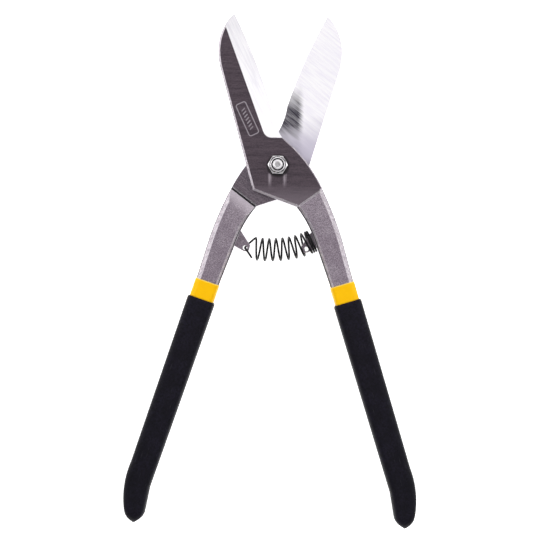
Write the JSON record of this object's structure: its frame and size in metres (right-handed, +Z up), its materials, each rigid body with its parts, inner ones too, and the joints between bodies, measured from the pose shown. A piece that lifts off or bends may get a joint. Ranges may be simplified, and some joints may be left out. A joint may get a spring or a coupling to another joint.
{
  "type": "tin snips",
  "caption": "Straight-cut forged tin snips with two crossed halves, a bolted pivot, a return spring and dipped handles.",
  "frame": {"origin": "on the pivot axis, on the plane that the underside of the pivot bolt's head lies on", "axes": "snips lying flat and sprung open: +X to the right, +Y from the handles to the blade tips, +Z up out of the nut"},
  "size_m": [0.1656, 0.2888, 0.0212],
  "materials": {
    "forged_steel": "blasted satin, ground on the blades",
    "plated_steel": "zinc plated",
    "nylon": "matt",
    "spring_wire": "black oxide",
    "yellow_dip": "glossy vinyl dip",
    "black_dip": "fine grained matt vinyl dip"
  },
  "bodies": {
    "rear_side": {"rear_half": "forged_steel", "rear_undercoat": "yellow_dip", "rear_grip": "black_dip", "pivot_bolt": "plated_steel", "pivot_nut": "plated_steel", "nut_insert": "nylon", "return_spring": "spring_wire"},
    "front_side": {"front_half": "forged_steel", "front_undercoat": "yellow_dip", "front_grip": "black_dip"}
  },
  "joints": [
    {"name": "pivot", "type": "hinge", "parent": "rear_side", "child": "front_side", "pos_m": [0, 0, 0.00905], "axis": [0, 0, -1], "range_deg": [0, 34.5], "stiffness_Nm_per_rad": 4.3, "deforming": ["return_spring"]}
  ]
}
